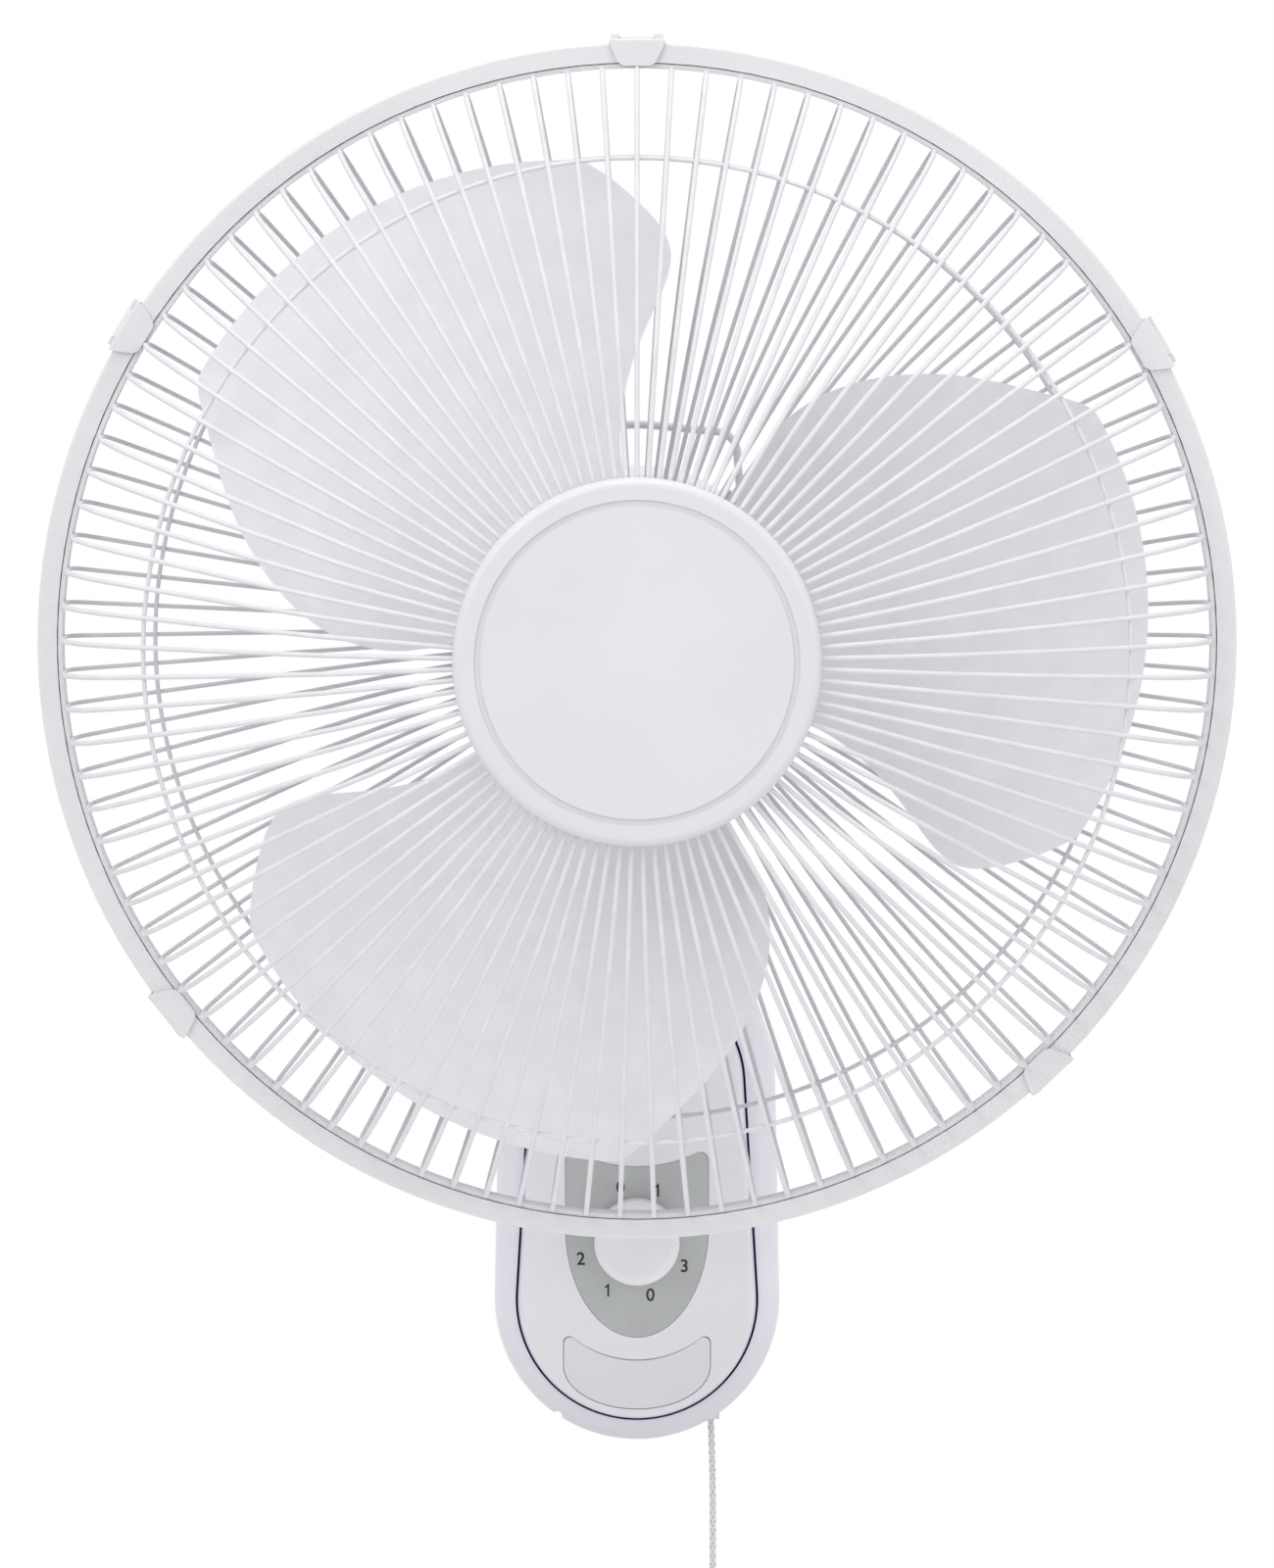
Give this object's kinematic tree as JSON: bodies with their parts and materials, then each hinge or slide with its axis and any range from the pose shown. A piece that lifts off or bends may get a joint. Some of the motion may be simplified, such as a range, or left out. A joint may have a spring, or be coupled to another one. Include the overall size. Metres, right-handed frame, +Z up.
{
  "type": "wall mounted fan",
  "caption": "Wall mounted oscillating fan: wire guard, fan blades in one moulding, tilting head on a neck, base with speed knob and pull cord, hung on a wall bracket.",
  "frame": {"origin": "centre of the wall bracket's back face, on the wall plane", "axes": "+Z up, the fan looks towards -Y with the wall at Y = 0, +X to the right of somebody facing the fan"},
  "size_m": [0.43, 0.3273, 0.6961],
  "materials": {
    "guard_wire": "powder coated",
    "pale_plastic": "satin",
    "blade_plastic": "satin, pale",
    "dial_grey": "printed plate",
    "dark_plastic": "moulded",
    "natural_nylon": "moulded",
    "zinc_steel": "zinc plated",
    "bare_steel": "ground",
    "core_steel": "laminated",
    "cast_alloy": "die cast",
    "copper_wire": "enamelled winding",
    "cord_braid": "braided"
  },
  "bodies": {
    "wall_base": {"wall_bracket": "zinc_steel", "rear_housing": "pale_plastic", "front_cover": "pale_plastic", "dial_plate": "dial_grey", "crescent_insert": "pale_plastic", "neck_arm": "pale_plastic", "base_screws": "zinc_steel", "locking_screw": "zinc_steel", "tilt_bolt": "zinc_steel", "tilt_knob": "pale_plastic", "terminal_block": "natural_nylon", "capacitor": "dark_plastic", "inlet_gland": "dark_plastic", "pull_cord_guide": "pale_plastic", "rotary_switch": "dark_plastic", "lever_spring": "zinc_steel"},
    "tilt": {"tilt_yoke": "pale_plastic", "pan_lock_screw": "zinc_steel", "tilt_washers": "natural_nylon", "thrust_washer": "natural_nylon"},
    "head": {"front_guard": "guard_wire", "rear_guard": "guard_wire", "rim_ring": "pale_plastic", "clip_pins": "zinc_steel", "guard_cap": "pale_plastic", "motor_front_cover": "pale_plastic", "motor_rear_cover": "pale_plastic", "front_bracket": "cast_alloy", "rear_bracket": "cast_alloy", "bearings": "zinc_steel", "stator_core": "core_steel", "stator_winding": "copper_wire", "motor_bolts": "zinc_steel", "gearbox_case": "cast_alloy", "gearbox_cover": "cast_alloy", "pan_pivot": "bare_steel", "guard_nut": "dark_plastic", "carry_handle": "pale_plastic", "head_screws": "zinc_steel"},
    "rotor": {"fan_blade": "blade_plastic", "spinner_nut": "dark_plastic", "motor_shaft": "bare_steel", "rotor_core": "core_steel", "drive_pin": "zinc_steel"},
    "worm_wheel": {"worm_wheel": "natural_nylon"},
    "clutch_shaft": {"clutch_shaft": "bare_steel"},
    "crank_gear": {"crank_gear": "bare_steel"},
    "link_rod": {"link_rod": "zinc_steel"},
    "osc_knob": {"osc_knob": "pale_plastic"},
    "speed_knob": {"speed_knob": "pale_plastic", "switch_spindle": "zinc_steel"},
    "ratchet_lever": {"ratchet_lever": "dark_plastic"},
    "pull_cord": {"cord_inner": "cord_braid", "pull_cord": "cord_braid", "cord_bell": "pale_plastic"},
    "rim_clip_1": {"rim_clip_1": "pale_plastic"},
    "rim_clip_2": {"rim_clip_2": "pale_plastic"},
    "rim_clip_3": {"rim_clip_3": "pale_plastic"},
    "rim_clip_4": {"rim_clip_4": "pale_plastic"},
    "rim_clip_5": {"rim_clip_5": "pale_plastic"}
  },
  "joints": [
    {"name": "tilt", "type": "hinge", "parent": "wall_base", "child": "tilt", "pos_m": [0, -0.105, 0.1015], "axis": [1, 0, 0], "range_deg": [-15, 20]},
    {"name": "pan", "type": "hinge", "parent": "tilt", "child": "head", "pos_m": [0, -0.11439, 0.19905], "axis": [0, -0.0958, 0.9954], "range_deg": [-40, 40]},
    {"name": "rotor_spin", "type": "hinge", "parent": "head", "child": "rotor", "pos_m": [0, -0.11439, 0.19905], "axis": [0, -0.9954, -0.0958], "continuous": true},
    {"name": "worm_wheel_turn", "type": "hinge", "parent": "head", "child": "worm_wheel", "pos_m": [-0.0162, -0.09847, 0.20058], "axis": [0, -0.0958, 0.9954], "continuous": true},
    {"name": "clutch_turn", "type": "hinge", "parent": "head", "child": "clutch_shaft", "pos_m": [-0.0162, -0.09847, 0.20058], "axis": [0, -0.0958, 0.9954], "range_deg": [-130, 130]},
    {"name": "crank_turn", "type": "hinge", "parent": "head", "child": "crank_gear", "pos_m": [0, -0.08146, 0.17007], "axis": [0, -0.0958, 0.9954], "range_deg": [-50, 50]},
    {"name": "link_turn", "type": "hinge", "parent": "crank_gear", "child": "link_rod", "pos_m": [0.00909, -0.07545, 0.15106], "axis": [0, -0.0958, 0.9954], "range_deg": [-52, 52]},
    {"name": "osc_knob_push", "type": "slide", "parent": "head", "child": "osc_knob", "axis": [0, 0.0958, -0.9954], "range_m": [0, 0.008]},
    {"name": "rim_clip_1_hinge", "type": "hinge", "parent": "head", "child": "rim_clip_1", "pos_m": [0, -0.25971, 0.40296], "axis": [-1, 0, 0], "range_deg": [0, 90]},
    {"name": "rim_clip_2_hinge", "type": "hinge", "parent": "head", "child": "rim_clip_2", "pos_m": [-0.18354, -0.24999, 0.30211], "axis": [-0.5329, 0.0811, -0.8423], "range_deg": [0, 90]},
    {"name": "rim_clip_3_hinge", "type": "hinge", "parent": "head", "child": "rim_clip_3", "pos_m": [0.18727, -0.24941, 0.29599], "axis": [-0.5045, -0.0828, 0.8594], "range_deg": [0, 90]},
    {"name": "rim_clip_4_hinge", "type": "hinge", "parent": "head", "child": "rim_clip_4", "pos_m": [-0.17045, -0.22606, 0.05354], "axis": [0.6184, 0.0753, -0.7822], "range_deg": [0, 90]},
    {"name": "rim_clip_5_hinge", "type": "hinge", "parent": "head", "child": "rim_clip_5", "pos_m": [0.15067, -0.22396, 0.03175], "axis": [0.7193, -0.0666, 0.6915], "range_deg": [0, 90]},
    {"name": "speed_knob_turn", "type": "hinge", "parent": "wall_base", "child": "speed_knob", "pos_m": [0, -0.076, -0.0417], "axis": [0, -1, 0], "continuous": true},
    {"name": "cord_pull", "type": "slide", "parent": "wall_base", "child": "pull_cord", "axis": [0, 0, -1], "range_m": [0, 0.02], "stiffness_N_per_m": 40, "springref_m": -0.02},
    {"name": "lever_turn", "type": "hinge", "parent": "wall_base", "child": "ratchet_lever", "pos_m": [0, -0.0565, -0.0417], "axis": [0, 1, 0], "range_deg": [0, 41]}
  ],
  "couplings": [
    {"joint": "worm_wheel_turn", "follows": "rotor_spin", "ratio": 0.026316},
    {"joint": "crank_turn", "follows": "pan", "ratio": -1.239},
    {"joint": "link_turn", "follows": "pan", "ratio": 1.288},
    {"joint": "clutch_turn", "follows": "pan", "ratio": 3.1205},
    {"joint": "lever_turn", "follows": "cord_pull", "rad_per_m": 35.256}
  ]
}
